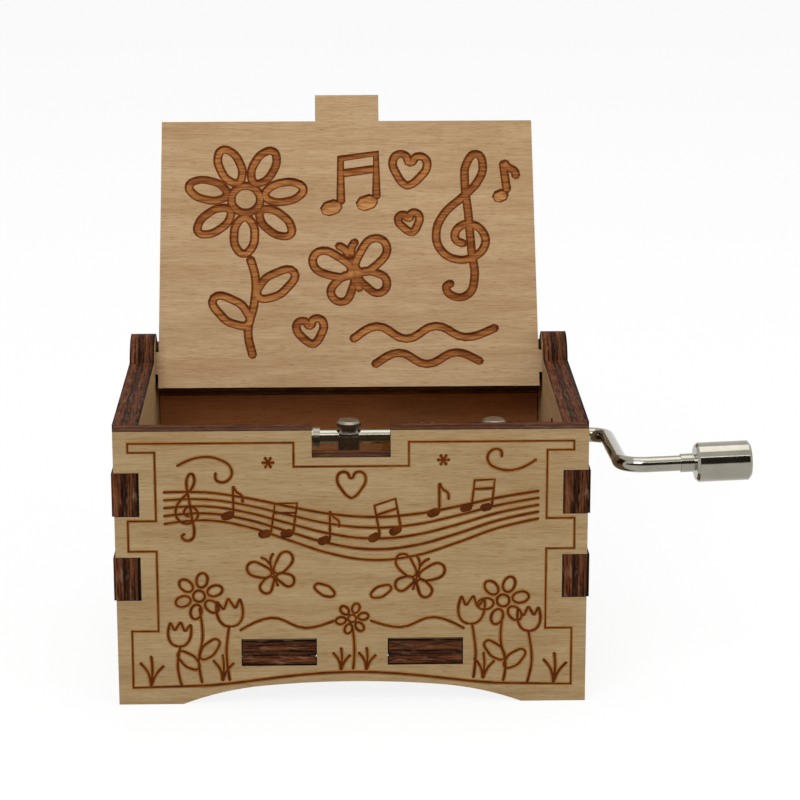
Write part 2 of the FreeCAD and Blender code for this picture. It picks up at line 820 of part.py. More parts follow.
def tooth_section(offset, sign):
    """The section of the tooth in mesh, the wheel's topmost, on one face of the wheel. It is turned so
    that the tooth leans with the worm's thread."""
    sketch = new_sketch(worm_wheel, "XY_Plane", offset)
    outline(
        sketch,
        [
            ("tooth_root_half", "-tooth_root_radius"),
            ("-tooth_root_half", "-tooth_root_radius"),
            ("-tooth_tip_half", "-wheel_tip_radius"),
            ("tooth_tip_half", "-wheel_tip_radius"),
        ],
    )
    lean = f"{sign}(wheel_width / 2 * {LEAD_SLOPE} / wheel_pitch_radius * 180 / pi)"
    sketch.AttachmentOffset = FreeCAD.Placement(
        Vector(0, 0, value(offset)), FreeCAD.Rotation(Vector(0, 0, 1), value(lean))
    )
    return sketch


tooth = worm_wheel.newObject("PartDesign::AdditiveLoft", "wheel_tooth")
tooth.Profile = tooth_section("-wheel_width / 2", "-")
tooth.Sections = [tooth_section("wheel_width / 2", "")]
tooth.Ruled = True
doc.recompute()
wheel_teeth = worm_wheel.newObject("PartDesign::PolarPattern", "wheel_teeth")
wheel_teeth.Originals = [tooth]
wheel_axis = next(line for line in worm_wheel.Origin.OriginFeatures if line.Role == "Z_Axis")
wheel_teeth.Axis = (wheel_axis, [""])
wheel_teeth.Angle = 360
wheel_teeth.setExpression("Occurrences", bound("wheel_teeth"))
worm_wheel.Tip = wheel_teeth
place_along_y(worm_wheel, "cylinder_x", "shaft_y", CYLINDER_Z)

# ---------------------------------------------------------------- cylinder

cylinder_sleeve = turned(
    "cylinder_sleeve",
    tube_profile(
        "sleeve_radius - sleeve_wall", "sleeve_radius", "0", "sleeve_back - sleeve_front"
    ),
)
place_along_y(cylinder_sleeve, "cylinder_x", "sleeve_front", CYLINDER_Z)


def end_plug(label, y, flange, inward):
    """A plug in one end of the sleeve: a flange against the tube's edge and a spigot inside it."""
    spigot_end = f"{inward}plug_depth"
    flange_end = f"-({inward}{flange})"
    body = turned(
        label,
        [
            ("arbor_radius", flange_end),
            ("plug_flange_radius", flange_end),
            ("plug_flange_radius", "0"),
            ("sleeve_radius - sleeve_wall", "0"),
            ("sleeve_radius - sleeve_wall", spigot_end),
            ("arbor_radius", spigot_end),
        ],
    )
    place_along_y(body, "cylinder_x", y, CYLINDER_Z)
    return body


cylinder_front_plug = end_plug("cylinder_front_plug", "sleeve_front", "plug_front_flange", "")
cylinder_rear_plug = end_plug("cylinder_rear_plug", "sleeve_back", "plug_back_flange", "-")

cylinder_arbor = doc.addObject("Part::Cylinder", "cylinder_arbor")
cylinder_arbor.setExpression("Radius", bound("arbor_radius"))
cylinder_arbor.setExpression("Height", bound("arbor_back - arbor_front"))
place_along_y(cylinder_arbor, "cylinder_x", "arbor_front", CYLINDER_Z)


def tune_pin(number):
    """One pin, standing on the sleeve's surface. The tracks follow each other in a plain made-up order."""
    track = (7 * number + number // 4 * 3) % int(value("comb_teeth"))
    angle = 360 * number / value("pin_count")
    along = value("pin_first_y") + track * value("tooth_pitch") - value("sleeve_front")
    ring = [Vector(0, value("pin_radius"), 0)]
    for _ in range(int(value("pin_sides"))):
        ring.append(FreeCAD.Rotation(Vector(0, 0, 1), 360 / value("pin_sides")) * ring[-1])
    ring[-1] = ring[0]
    pin = Part.Face(Part.makePolygon(ring)).extrude(Vector(0, 0, value("pin_height")))
    upright = FreeCAD.Placement(
        Vector(value("sleeve_radius"), 0, along), FreeCAD.Rotation(Vector(0, 1, 0), 90)
    )
    pin.Placement = FreeCAD.Placement(Vector(), FreeCAD.Rotation(Vector(0, 0, 1), angle)) * upright
    return pin


cylinder_pins = doc.addObject("Part::Feature", "cylinder_pins")
cylinder_pins.Shape = Part.makeCompound(
    [tune_pin(number) for number in range(int(value("pin_count")))]
)
place_along_y(cylinder_pins, "cylinder_x", "sleeve_front", CYLINDER_Z)

# ---------------------------------------------------------------- comb

COMB_TIP = "(cylinder_x - sleeve_radius - pin_height - comb_clearance)"
COMB_BACK_EDGE = "(comb_front + comb_teeth * tooth_pitch + 2 * comb_side)"

comb = new_body("comb")
base_sketch = new_sketch(comb, "XY_Plane", "-comb_base_thickness")
rectangle(base_sketch, "comb_back", "comb_root", "comb_front", COMB_BACK_EDGE)
pad(comb, base_sketch, "comb_base_thickness")
blade_sketch = new_sketch(comb, "XY_Plane", "-comb_thickness")
rectangle(
    blade_sketch,
    "comb_root",
    COMB_TIP,
    "comb_front + comb_side",
    f"{COMB_BACK_EDGE} - comb_side",
)
pad(comb, blade_sketch, "comb_thickness")
slit_sketch = new_sketch(comb, "XY_Plane")
for number in range(1, int(value("comb_teeth"))):
    middle = f"(comb_front + comb_side + {number} * tooth_pitch)"
    end = f"slit_bass_end + (comb_teeth - 1 - {number}) * slit_step"
    slit_half = "slit_width / 2"
    outline(
        slit_sketch,
        [
            (end, f"{middle} - {slit_half}"),
            (f"{COMB_TIP} - tip_length", f"{middle} - {slit_half}"),
            (f"{COMB_TIP} + 0.1", f"{middle} - tip_gap_half"),
            (f"{COMB_TIP} + 0.1", f"{middle} + tip_gap_half"),
            (f"{COMB_TIP} - tip_length", f"{middle} + {slit_half}"),
            (end, f"{middle} + {slit_half}"),
        ],
    )
pocket(comb, slit_sketch, "comb_base_thickness")
comb_screw_sketch = new_sketch(comb, "XY_Plane")
for screw_y in ("comb_screw_low_y", "comb_screw_high_y"):
    circle(comb_screw_sketch, "comb_screw_x", screw_y, "comb_screw_hole_radius")
pocket(comb, comb_screw_sketch, "comb_base_thickness")
place(comb, "0", "0", COMB_TOP_Z)


def comb_weight(number):
    """A lead weight under one bass tooth; the lower the note, the deeper the weight."""
    weight = doc.addObject("Part::Box", f"comb_weight_{number}")
    tooth_number = int(value("comb_teeth - weight_count")) + number
    middle = f"comb_front + comb_side + ({tooth_number} + 0.5) * tooth_pitch"
    depth = f"(weight_least + {number} * weight_step)"
    weight.setExpression("Length", bound("weight_end - weight_start"))
    weight.setExpression("Width", bound("weight_width"))
    weight.setExpression("Height", bound(depth))
    place(
        weight,
        "weight_start",
        f"{middle} - weight_width / 2",
        f"{COMB_TOP_Z} - comb_thickness - {depth}",
    )
    return weight


comb_weights = doc.addObject("Part::Compound", "comb_weights")
comb_weights.Links = [comb_weight(number) for number in range(int(value("weight_count")))]

# ---------------------------------------------------------------- screws


def screw(label, kind, x, y, z, upside_down=False):
    """A cheese-head screw with its head on +Z of the point, or on -Z when upside down."""
    radius, length = f"{kind}_radius", f"{kind}_length"
    head_radius, head_height = f"{kind}_head_radius", f"{kind}_head_height"
    body = turned(
        label,
        [
            ("0", f"-{length}"),
            (radius, f"-{length}"),
            (radius, "0"),
            (head_radius, "0"),
            (head_radius, head_height),
            ("0", head_height),
        ],
    )
    place(body, x, y, z, Vector(1, 0, 0), "180" if upside_down else "0")
    return body


comb_screws = doc.addObject("Part::Compound", "comb_screws")
comb_screws.Links = [
    screw(f"comb_screw_{number}", "comb_screw", "comb_screw_x", screw_y, COMB_TOP_Z)
    for number, screw_y in enumerate(("comb_screw_low_y", "comb_screw_high_y"), start=1)
]

mounting_screws = doc.addObject("Part::Compound", "mounting_screws")
mounting_screws.Links = [
    screw(f"bed_screw_{number}", "bed_screw", x, y, "floor_height", upside_down=True)
    for number, (x, y) in enumerate(BED_SCREWS, start=1)
]

# ---------------------------------------------------------------- check and export

SUB_PARTS = [
    front_panel,
    back_panel,
    left_side_panel,
    right_side_panel,
    bottom_panel,
    lid,
    movement_bed,
    left_shaft_post,
    right_shaft_post,
    left_post_cap,
    right_post_cap,
    crank_rod,
    crank_knob,
    knob_retaining_ring,
    shaft_collar,
    shaft_clips,
    worm,
    worm_wheel,
    cylinder_sleeve,
    cylinder_pins,
    cylinder_front_plug,
    cylinder_rear_plug,
    cylinder_arbor,
    comb,
    comb_weights,
    comb_screws,
    mounting_screws,
]

doc.recompute()
for item in doc.Objects:
    if "Invalid" in item.State or "Error" in item.State:
        raise RuntimeError(f"{item.Label} failed: {item.State}")
for item in SUB_PARTS:
    if item.Shape.isNull() or not item.Shape.isValid() or not item.Shape.Solids:
        raise RuntimeError(f"{item.Label} has no valid solid")
for item in SUB_PARTS:
    item.Shape.exportStep(f"parts/{item.Label}.step")
    box = item.Shape.BoundBox
    print(
        f"{item.Label:22s} solids {len(item.Shape.Solids):3d} volume {item.Shape.Volume:9.2f}"
        f"  X {box.XMin:7.2f} {box.XMax:7.2f}  Y {box.YMin:7.2f} {box.YMax:7.2f}"
        f"  Z {box.ZMin:7.2f} {box.ZMax:7.2f}"
    )
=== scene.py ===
"""Looks of a hand-cranked music box: basswood case, engraved lid and front, metal movement."""
import math

import bmesh
import bpy
from mathutils import Euler, Matrix, Vector


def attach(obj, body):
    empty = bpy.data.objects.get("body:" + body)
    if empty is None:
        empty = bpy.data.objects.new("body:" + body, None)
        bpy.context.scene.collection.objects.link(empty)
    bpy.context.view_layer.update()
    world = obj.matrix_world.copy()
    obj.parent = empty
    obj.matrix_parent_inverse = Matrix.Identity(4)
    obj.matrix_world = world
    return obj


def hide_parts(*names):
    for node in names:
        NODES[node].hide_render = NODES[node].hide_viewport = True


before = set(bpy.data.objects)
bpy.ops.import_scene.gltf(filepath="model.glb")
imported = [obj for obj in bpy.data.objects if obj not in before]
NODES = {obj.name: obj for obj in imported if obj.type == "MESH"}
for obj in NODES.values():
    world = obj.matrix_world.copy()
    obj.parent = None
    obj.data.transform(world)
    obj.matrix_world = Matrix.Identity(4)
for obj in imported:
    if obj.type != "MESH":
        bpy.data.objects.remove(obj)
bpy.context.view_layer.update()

MM = 0.001
QUARTER = math.radians(90)

# The case as its solids have it, in millimetres, and the open lid's turn about its hinge.
HALF_PLY = 1.8
FRONT_FACE_Y = -26.0
SIDE_FACE_X = 32.3
FLOOR_UNDERSIDE_Z = 5.6
HINGE = (0, 17.0, 37.0)
LID_TURN = math.radians(57.0)

# ---------------------------------------------------------------- camera, floor and lamps

# The camera is placed in millimetres and turned in degrees; 90 degrees of pitch is level.
SENSOR, LENS = 36.0, 124.5
CAMERA_PLACE = (-2.29, -383.69, 136.76)
CAMERA_TURN = (90.0 - 14.69, 0.05, -1.43)
# Lamps, floor and cards are placed in metres.
LAMP_AIM = Vector((0.0, 0.0, 0.035))
FLOOR_HALF_WIDTH = 2.5
CARD_DISTANCE, CARD_WIDTH = 0.8, 4


def link(item):
    """Puts a new object into the scene."""
    bpy.context.scene.collection.objects.link(item)
    return item


def evaluated_mesh(item):
    """A new mesh of what a curve or an object with modifiers comes to."""
    bpy.context.view_layer.update()
    finished = item.evaluated_get(bpy.context.evaluated_depsgraph_get())
    return bpy.data.meshes.new_from_object(finished)


def new_camera():
    """A long lens in front of the box, a little above the lid's tab."""
    data = bpy.data.cameras.new("camera")
    data.sensor_width = SENSOR
    data.lens = LENS
    camera = link(bpy.data.objects.new("camera", data))
    camera.location = Vector(CAMERA_PLACE) * MM
    camera.rotation_euler = [math.radians(angle) for angle in CAMERA_TURN]
    bpy.context.scene.camera = camera


def soft_lamp(name, place, size, power):
    """A square soft box that faces the middle of the case."""
    data = bpy.data.lights.new(name, "AREA")
    data.shape = "SQUARE"
    data.size = size
    data.energy = power
    lamp = link(bpy.data.objects.new(name, data))
    lamp.location = place
    lamp.rotation_euler = (LAMP_AIM - lamp.location).to_track_quat("-Z", "Y").to_euler()


def linear(code):
    """A '#rrggbb' colour as linear red, green, blue and alpha."""
    channels = [int(code[start : start + 2], 16) / 255 for start in (1, 3, 5)]
    low = [c / 12.92 if c <= 0.04045 else ((c + 0.055) / 1.055) ** 2.4 for c in channels]
    return (*low, 1.0)


def add_node(tree, kind, links=None, **settings):
    """Adds a node with its settings; links gives each input a value or another node's output."""
    node = tree.nodes.new(kind)
    for name, value in settings.items():
        setattr(node, name, value)
    for socket, source in (links or {}).items():
        if isinstance(source, bpy.types.NodeSocket):
            tree.links.new(source, node.inputs[socket])
        else:
            node.inputs[socket].default_value = source
    return node


def set_stops(ramp, stops):
    """Gives a colour ramp its stops, as (position, '#rrggbb')."""
    elements = ramp.color_ramp.elements
    while len(elements) < len(stops):
        elements.new(0.5)
    for element, (position, code) in zip(elements, stops):
        element.position = position
        element.color = linear(code)
    return ramp.outputs["Color"]


def seen_white(tree, other, white):
    """Shows the white background where the camera, metal or glass looks, and other elsewhere."""
    path = add_node(tree, "ShaderNodeLightPath")
    direct = add_node(
        tree,
        "ShaderNodeMath",
        {0: path.outputs["Is Camera Ray"], 1: path.outputs["Is Glossy Ray"]},
        operation="MAXIMUM",
    )
    both = add_node(
        tree,
        "ShaderNodeMath",
        {0: direct.outputs[0], 1: path.outputs["Is Transmission Ray"]},
        operation="MAXIMUM",
    )
    return add_node(
        tree, "ShaderNodeMixShader", {"Fac": both.outputs[0], 1: other, 2: white}
    ).outputs[0]


def new_world():
    """A white studio: white behind the object, and a plain even light on it."""
    world = bpy.data.worlds.new("studio")
    world.use_nodes = True
    tree = world.node_tree
    tree.nodes.clear()
    light = add_node(tree, "ShaderNodeBackground", {"Color": (1, 1, 1, 1), "Strength": 0.42})
    white = add_node(tree, "ShaderNodeBackground", {"Color": (1, 1, 1, 1), "Strength": 1.0})
    shown = seen_white(tree, light.outputs[0], white.outputs[0])
    add_node(tree, "ShaderNodeOutputWorld", {"Surface": shown})
    bpy.context.scene.world = world


def new_floor():
    """A pale studio floor that keeps the object's soft shadow."""
    data = bpy.data.meshes.new("floor")
    builder = bmesh.new()
    bmesh.ops.create_grid(builder, x_segments=1, y_segments=1, size=FLOOR_HALF_WIDTH)
    builder.to_mesh(data)
    builder.free()
    floor = link(bpy.data.objects.new("floor", data))
    paper = bpy.data.materials.new("white_paper_sweep")
    paper.use_nodes = True
    tree = paper.node_tree
    tree.nodes.clear()
    matt = add_node(tree, "ShaderNodeBsdfDiffuse", {"Color": (0.86, 0.86, 0.86, 1)})
    glow = add_node(tree, "ShaderNodeEmission", {"Color": (1, 1, 1, 1), "Strength": 1.06})
    blend = add_node(
        tree, "ShaderNodeMixShader", {"Fac": 0.82, 1: matt.outputs[0], 2: glow.outputs[0]}
    )
    shown = seen_white(tree, matt.outputs[0], blend.outputs[0])
    add_node(tree, "ShaderNodeOutputMaterial", {"Surface": shown})
    data.materials.append(paper)


def new_card(name, low, high, glow):
    """An upright card before the object, from low to high, that only polished metal reflects."""
    data = bpy.data.meshes.new(name)
    builder = bmesh.new()
    bmesh.ops.create_grid(builder, x_segments=1, y_segments=1, size=0.5)
    middle = Matrix.Translation((0, -CARD_DISTANCE, (low + high) / 2))
    upright = Matrix.Rotation(QUARTER, 4, "X")
    size = Matrix.Diagonal((CARD_WIDTH, high - low, 1, 1))
    bmesh.ops.transform(builder, matrix=middle @ upright @ size, verts=builder.verts)
    builder.to_mesh(data)
    builder.free()
    card = link(bpy.data.objects.new(name, data))
    board = bpy.data.materials.new(name)
    board.use_nodes = True
    shader = board.node_tree.nodes["Principled BSDF"]
    shader.inputs["Base Color"].default_value = linear("#3a3632")
    shader.inputs["Roughness"].default_value = 1.0
    shader.inputs["Emission Color"].default_value = (1, 1, 1, 1)
    shader.inputs["Emission Strength"].default_value = glow
    data.materials.append(board)
    card.visible_camera = False
    card.visible_diffuse = False
    card.visible_shadow = False
    card.visible_transmission = False


new_camera()
new_world()
new_floor()
new_card("dark_flag_card", 0.06, 0.72, 0.0)
new_card("bright_strip_card", 0.73, 0.80, 4.0)
soft_lamp("key", Vector((-0.25, -0.55, 0.62)), 0.45, 2.6)
soft_lamp("fill", Vector((0.55, -0.45, 0.30)), 0.45, 0.9)
soft_lamp("top", Vector((0.05, 0.10, 0.75)), 0.50, 1.4)

bpy.context.scene.view_settings.view_transform = "Standard"

# ---------------------------------------------------------------- materials

# The inputs and the output of a Mix node that hold its factor, its two colours and its result.
FACTOR, FIRST, SECOND, MIXED = 0, 6, 7, 2
# A face of a board that looks less than this share along its thickness is a cut edge.
EDGE_FACING = 0.7


def new_material(name):
    """An empty node material: its tree and its shader."""
    material = bpy.data.materials.new(name)
    material.use_nodes = True
    tree = material.node_tree
    return material, tree, tree.nodes["Principled BSDF"]


def board_coordinates(tree, centre, turn):
    """Coordinates of a plywood board: x along the grain, y across it and z through the plies."""
    place = add_node(tree, "ShaderNodeTexCoord")
    return add_node(
        tree,
        "ShaderNodeMapping",
        {"Vector": place.outputs["Object"], "Location": centre, "Rotation": turn},
        vector_type="TEXTURE",
    ).outputs[0]


def stretched_noise(tree, board, along, across, through, detail):
    """Noise whose grains measure along by across by through, in millimetres."""
    sizes = [1 / (length * MM) for length in (along, across, through)]
    scaled = add_node(tree, "ShaderNodeMapping", {"Vector": board, "Scale": sizes})
    return add_node(
        tree,
        "ShaderNodeTexNoise",
        {"Vector": scaled.outputs[0], "Scale": 1.0, "Detail": detail, "Roughness": 0.62},
    ).outputs["Fac"]


def multiplied(tree, colour, layers):
    """The colour, darkened in turn by each layer: a noise output and the stops of its ramp."""
    for noise, stops in layers:
        ramp = add_node(tree, "ShaderNodeValToRGB", {"Fac": noise})
        colour = add_node(
            tree,
            "ShaderNodeMix",
            {FACTOR: 1.0, FIRST: colour, SECOND: set_stops(ramp, stops)},
            data_type="RGBA",
            blend_type="MULTIPLY",
        ).outputs[MIXED]
    return colour


def basswood_face(tree, board, tone):
    """Bare rotary-cut basswood: fine fibres, soft wide bands and short dark dashes, all faint."""
    fibres = stretched_noise(tree, board, 3.2, 0.2, 4.0, 3.0)
    bands = stretched_noise(tree, board, 30.0, 3.2, 9.0, 2.0)
    dashes = stretched_noise(tree, board, 1.5, 0.12, 2.0, 1.0)
    layers = [
        (fibres, [(0.32, "#e9dfd3"), (0.62, "#ffffff")]),
        (bands, [(0.36, "#efe8df"), (0.62, "#ffffff")]),
        (dashes, [(0.30, "#e2d5c5"), (0.40, "#ffffff")]),
    ]
    return multiplied(tree, linear(tone), layers), fibres


def charred_edge(tree, board):
    """Laser-cut edge of plywood: red-brown charred plies, darker glue lines, soot and pale ash."""
    parts = add_node(tree, "ShaderNodeSeparateXYZ", {"Vector": board})
    depth = add_node(
        tree,
        "ShaderNodeMapRange",
        {
            "Value": parts.outputs["Z"],
            "From Min": -HALF_PLY * MM,
            "From Max": HALF_PLY * MM,
            "To Min": 0.0,
            "To Max": 1.0,
        },
    )
    wobble = stretched_noise(tree, board, 5.0, 5.0, 2.0, 2.0)
    shifted = add_node(
        tree,
        "ShaderNodeMath",
        {0: wobble, 1: 0.10, 2: depth.outputs[0]},
        operation="MULTIPLY_ADD",
    )
    plies = add_node(tree, "ShaderNodeValToRGB", {"Fac": shifted.outputs[0]})
    stripes = set_stops(
        plies,
        [
            (0.06, "#170903"),
            (0.14, "#754327"),
            (0.36, "#643a22"),
            (0.43, "#2f190c"),
            (0.50, "#52301c"),
            (0.60, "#3c2112"),
            (0.68, "#6d4026"),
            (0.93, "#54301c"),
            (1.03, "#150803"),
        ],
    )
    soot = stretched_noise(tree, board, 3.5, 3.5, 0.2, 3.0)
    ash = stretched_noise(tree, board, 2.2, 2.2, 0.5, 3.0)
    dark = multiplied(tree, stripes, [(soot, [(0.36, "#5e493e"), (0.58, "#ffffff")])])
    flecks = add_node(tree, "ShaderNodeValToRGB", {"Fac": ash})
    pale = set_stops(flecks, [(0.56, "#000000"), (0.74, "#7d6350")])
    return add_node(
        tree,
        "ShaderNodeMix",
        {FACTOR: 0.5, FIRST: dark, SECOND: pale},
        data_type="RGBA",
        blend_type="ADD",
    ).outputs[MIXED]


def laser_cut_basswood_ply(name, centre, turn, upper_tone, lower_tone):
    """Basswood plywood, cut by laser and left bare: two faces of their own tones, charred edges.
    The upper face looks along the board's own Z."""
    material, tree, shader = new_material(name)
    board = board_coordinates(tree, centre, turn)
    upper, fibres = basswood_face(tree, board, upper_tone)
    lower = basswood_face(tree, board, lower_tone)[0]
    place = add_node(tree, "ShaderNodeTexCoord")
    through = Euler(turn).to_matrix() @ Vector((0, 0, 1))
    facing = add_node(
        tree,
        "ShaderNodeVectorMath",
        {0: place.outputs["Normal"], 1: through},
        operation="DOT_PRODUCT",
    ).outputs["Value"]
    flatness = add_node(tree, "ShaderNodeMath", {0: facing}, operation="ABSOLUTE")
    is_lower = add_node(tree, "ShaderNodeMath", {0: facing, 1: 0.0}, operation="LESS_THAN")
    is_edge = add_node(
        tree, "ShaderNodeMath", {0: flatness.outputs[0], 1: EDGE_FACING}, operation="LESS_THAN"
    )
    faces = add_node(
        tree,
        "ShaderNodeMix",
        {FACTOR: is_lower.outputs[0], FIRST: upper, SECOND: lower},
        data_type="RGBA",
    ).outputs[MIXED]
    colour = add_node(
        tree,
        "ShaderNodeMix",
        {FACTOR: is_edge.outputs[0], FIRST: faces, SECOND: charred_edge(tree, board)},
        data_type="RGBA",
    ).outputs[MIXED]
    tree.links.new(colour, shader.inputs["Base Color"])
    sheen = add_node(
        tree, "ShaderNodeMapRange", {"Value": is_edge.outputs[0], "To Min": 0.3, "To Max": 0.05}
    )
    tree.links.new(sheen.outputs[0], shader.inputs["Specular IOR Level"])
    gloss = add_node(
        tree,
        "ShaderNodeMapRange",
        {"Value": fibres, "From Min": 0.3, "From Max": 0.7, "To Min": 0.75, "To Max": 0.6},
    )
    tree.links.new(gloss.outputs[0], shader.inputs["Roughness"])
    relief = add_node(
        tree,
        "ShaderNodeBump",
        {"Height": fibres, "Strength": 0.15, "Distance": 0.03 * MM},
    )
    tree.links.new(relief.outputs[0], shader.inputs["Normal"])
    return material


def engraved_wood(name, centre, turn, cut, stops):
    """Laser-engraved basswood; the stops run from the scorched rim down to the floor of a groove
    that is cut so many millimetres deep."""
    material, tree, shader = new_material(name)
    board = board_coordinates(tree, centre, turn)
    parts = add_node(tree, "ShaderNodeSeparateXYZ", {"Vector": board})
    grain = stretched_noise(tree, board, 3.0, 0.3, 1.0, 2.0)
    depth = add_node(
        tree,
        "ShaderNodeMapRange",
        {
            "Value": parts.outputs["Z"],
            "From Min": HALF_PLY * MM,
            "From Max": (HALF_PLY - cut) * MM,
            "To Min": 0.0,
            "To Max": 1.0,
        },
    )
    ramp = add_node(tree, "ShaderNodeValToRGB", {"Fac": depth.outputs[0]})
    streaks = [(grain, [(0.38, "#c4a88c"), (0.58, "#ffffff")])]
    colour = multiplied(tree, set_stops(ramp, stops), streaks)
    tree.links.new(colour, shader.inputs["Base Color"])
    shader.inputs["Roughness"].default_value = 0.8
    shader.inputs["Specular IOR Level"].default_value = 0.15
    return material


def scorched_line(name, low, high):
    """Thin laser line on basswood, scorched orange brown to dark brown."""
    material, tree, shader = new_material(name)
    place = add_node(tree, "ShaderNodeTexCoord")
    noise = add_node(
        tree,
        "ShaderNodeTexNoise",
        {"Vector": place.outputs["Object"], "Scale": 1 / (1.4 * MM), "Detail": 2.0},
    )
    ramp = add_node(tree, "ShaderNodeValToRGB", {"Fac": noise.outputs["Fac"]})
    tree.links.new(set_stops(ramp, [(0.35, low), (0.65, high)]), shader.inputs["Base Color"])
    shader.inputs["Roughness"].default_value = 0.85
    shader.inputs["Specular IOR Level"].default_value = 0.1
    return material


def metal(name, low, high, roughness, grain, bump=0.1):
    """A metal whose finish varies a little; grain is its marks' size along X, Y and Z, in mm."""
    material, tree, shader = new_material(name)
    place = add_node(tree, "ShaderNodeTexCoord")
    marks = stretched_noise(tree, place.outputs["Object"], *grain, 3.0)
    ramp = add_node(tree, "ShaderNodeValToRGB", {"Fac": marks})
    tree.links.new(set_stops(ramp, [(0.3, low), (0.7, high)]), shader.inputs["Base Color"])
    shader.inputs["Metallic"].default_value = 1.0
    rough = add_node(
        tree,
        "ShaderNodeMapRange",
        {
            "Value": marks,
            "From Min": 0.3,
            "From Max": 0.7,
            "To Min": roughness * 0.8,
            "To Max": roughness * 1.25,
        },
    )
    tree.links.new(rough.outputs[0], shader.inputs["Roughness"])
    relief = add_node(
        tree, "ShaderNodeBump", {"Height": marks, "Strength": bump, "Distance": 0.02 * MM}
    )
    tree.links.new(relief.outputs[0], shader.inputs["Normal"])
    return material


def moulded_plastic(name, low, high):
    """Injection-moulded ABS with a faint orange-peel skin."""
    material, tree, shader = new_material(name)
    place = add_node(tree, "ShaderNodeTexCoord")
    skin = add_node(
        tree,
        "ShaderNodeTexNoise",
        {"Vector": place.outputs["Object"], "Scale": 1 / (0.35 * MM), "Detail": 2.0},
    )
    ramp = add_node(tree, "ShaderNodeValToRGB", {"Fac": skin.outputs["Fac"]})
    tree.links.new(set_stops(ramp, [(0.3, low), (0.7, high)]), shader.inputs["Base Color"])
    shader.inputs["Roughness"].default_value = 0.45
    relief = add_node(
        tree,
        "ShaderNodeBump",
        {"Height": skin.outputs["Fac"], "Strength": 0.15, "Distance": 0.02 * MM},
    )
    tree.links.new(relief.outputs[0], shader.inputs["Normal"])
    return material


# ---------------------------------------------------------------- drawings on the wood


def oval(x, y, half_width, half_height, turn=0.0):
    """Eight points of a closed oval stroke, turned by an angle in degrees."""
    lean = math.radians(turn)
    points = []
    for step in range(8):
        angle = step * math.pi / 4
        across, up = half_width * math.cos(angle), half_height * math.sin(angle)
        points.append(
            (
                x + across * math.cos(lean) - up * math.sin(lean),
                y + across * math.sin(lean) + up * math.cos(lean),
            )
        )
    return ("closed", points)


def both_sides(strokes):
    """The strokes and their mirror image across the motif's middle line."""
    return strokes + [(kind, [(-x, y) for x, y in points]) for kind, points in strokes]


def daisy_strokes(petals, eye, reach, half_width):
    """A ring with loop-shaped petals around it, which start a little outside the ring."""
    shift, first_turn = 0.35, 11
    middle, half_length = (eye + reach) / 2 + shift, (reach - eye) / 2 - shift
    strokes = [oval(0, 0, eye, eye)]
    for petal in range(petals):
        turn = 360 * petal / petals + first_turn
        lean = math.radians(turn)
        x, y = middle * math.cos(lean), middle * math.sin(lean)
        strokes.append(oval(x, y, half_length, half_width, turn))
    return strokes


